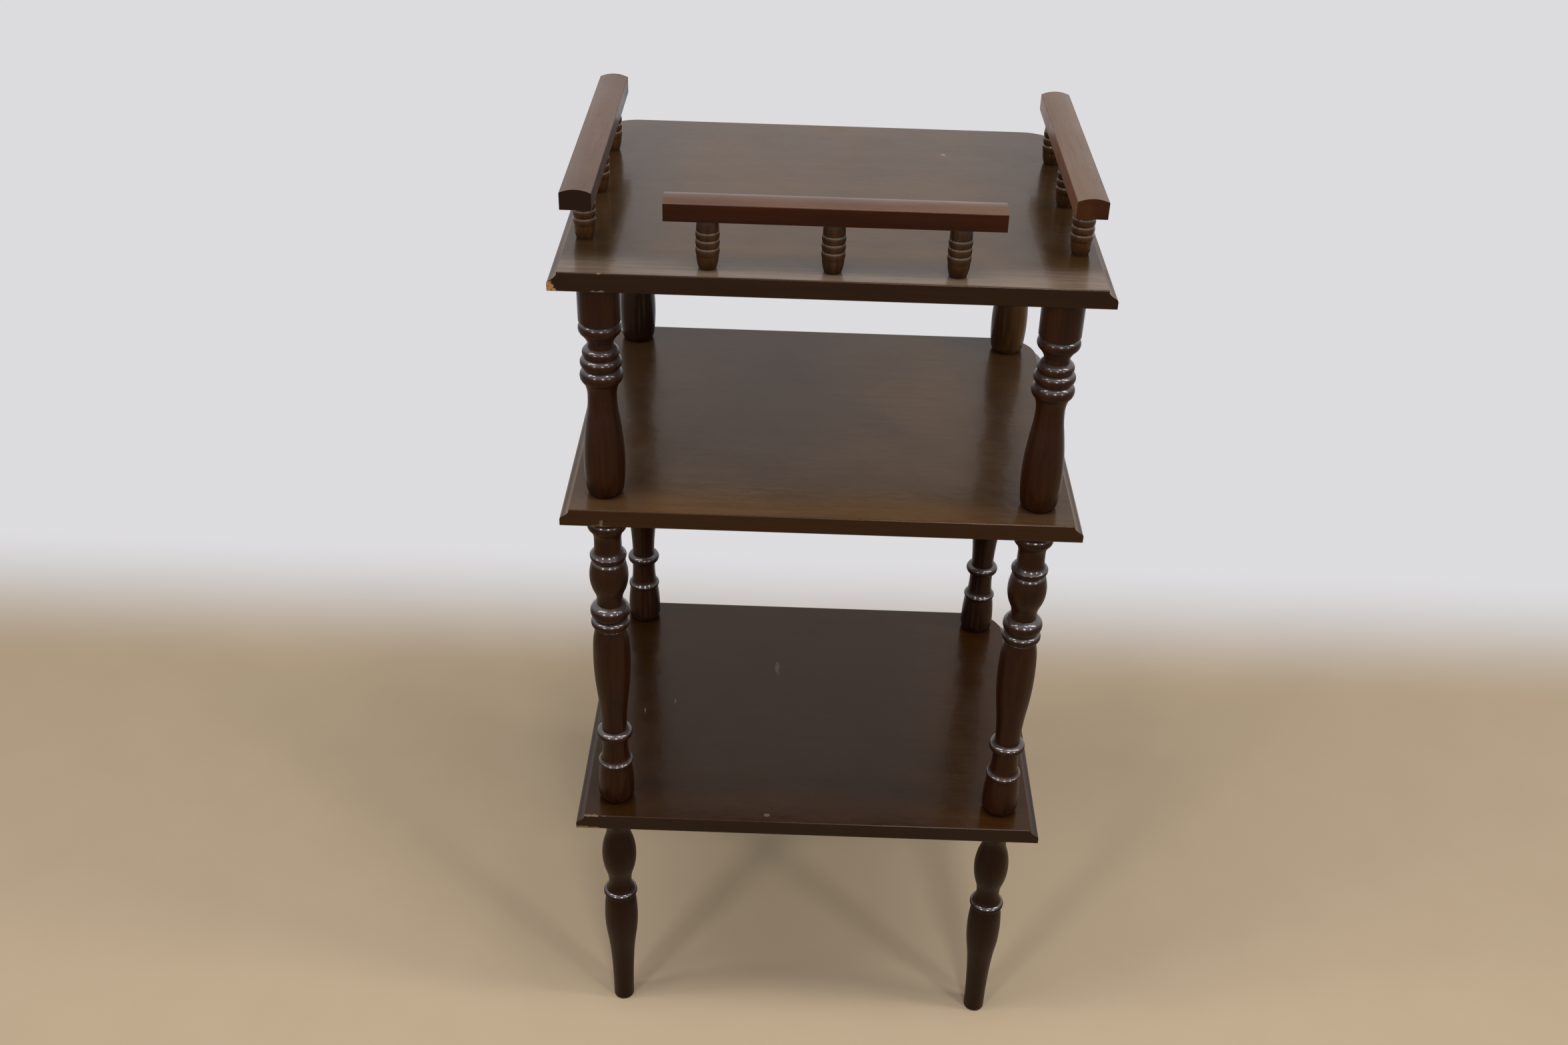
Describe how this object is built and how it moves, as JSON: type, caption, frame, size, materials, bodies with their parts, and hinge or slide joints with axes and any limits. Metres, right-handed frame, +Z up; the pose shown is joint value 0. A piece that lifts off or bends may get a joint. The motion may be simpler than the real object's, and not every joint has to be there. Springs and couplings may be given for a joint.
{
  "type": "etagere",
  "caption": "Free-standing open shelf stand with rectangular moulded shelves on turned legs and posts, and a low spindle gallery round the top shelf",
  "frame": {"origin": "on the floor, under the middle of the shelves", "axes": "+Z up; the square back edge with the back rail faces +Y, the front with the rounded corners faces -Y, +X is to the right seen from the front"},
  "size_m": [0.4064, 0.33, 0.8276],
  "materials": {
    "shelf_board": "dark walnut stain under satin lacquer",
    "turned_wood": "dark walnut stain under gloss lacquer",
    "rail_wood": "dark walnut stain under gloss lacquer",
    "stud_steel": "zinc plated",
    "insert_brass": "plain",
    "dowel_wood": "bare beech"
  },
  "bodies": {
    "root": {"bottom_shelf": "shelf_board", "middle_shelf": "shelf_board", "top_shelf": "shelf_board", "leg_back_right": "turned_wood", "leg_back_left": "turned_wood", "leg_front_right": "turned_wood", "leg_front_left": "turned_wood", "lower_post_back_right": "turned_wood", "lower_post_back_left": "turned_wood", "lower_post_front_right": "turned_wood", "lower_post_front_left": "turned_wood", "upper_post_back_right": "turned_wood", "upper_post_back_left": "turned_wood", "upper_post_front_right": "turned_wood", "upper_post_front_left": "turned_wood", "back_spindle_1": "turned_wood", "back_spindle_2": "turned_wood", "back_spindle_3": "turned_wood", "right_spindle_1": "turned_wood", "right_spindle_2": "turned_wood", "right_spindle_3": "turned_wood", "left_spindle_1": "turned_wood", "left_spindle_2": "turned_wood", "left_spindle_3": "turned_wood", "back_rail": "rail_wood", "right_rail": "rail_wood", "left_rail": "rail_wood", "leg_studs": "stud_steel", "post_studs": "stud_steel", "leg_inserts": "insert_brass", "post_inserts": "insert_brass", "top_dowels": "dowel_wood"}
  },
  "joints": []
}
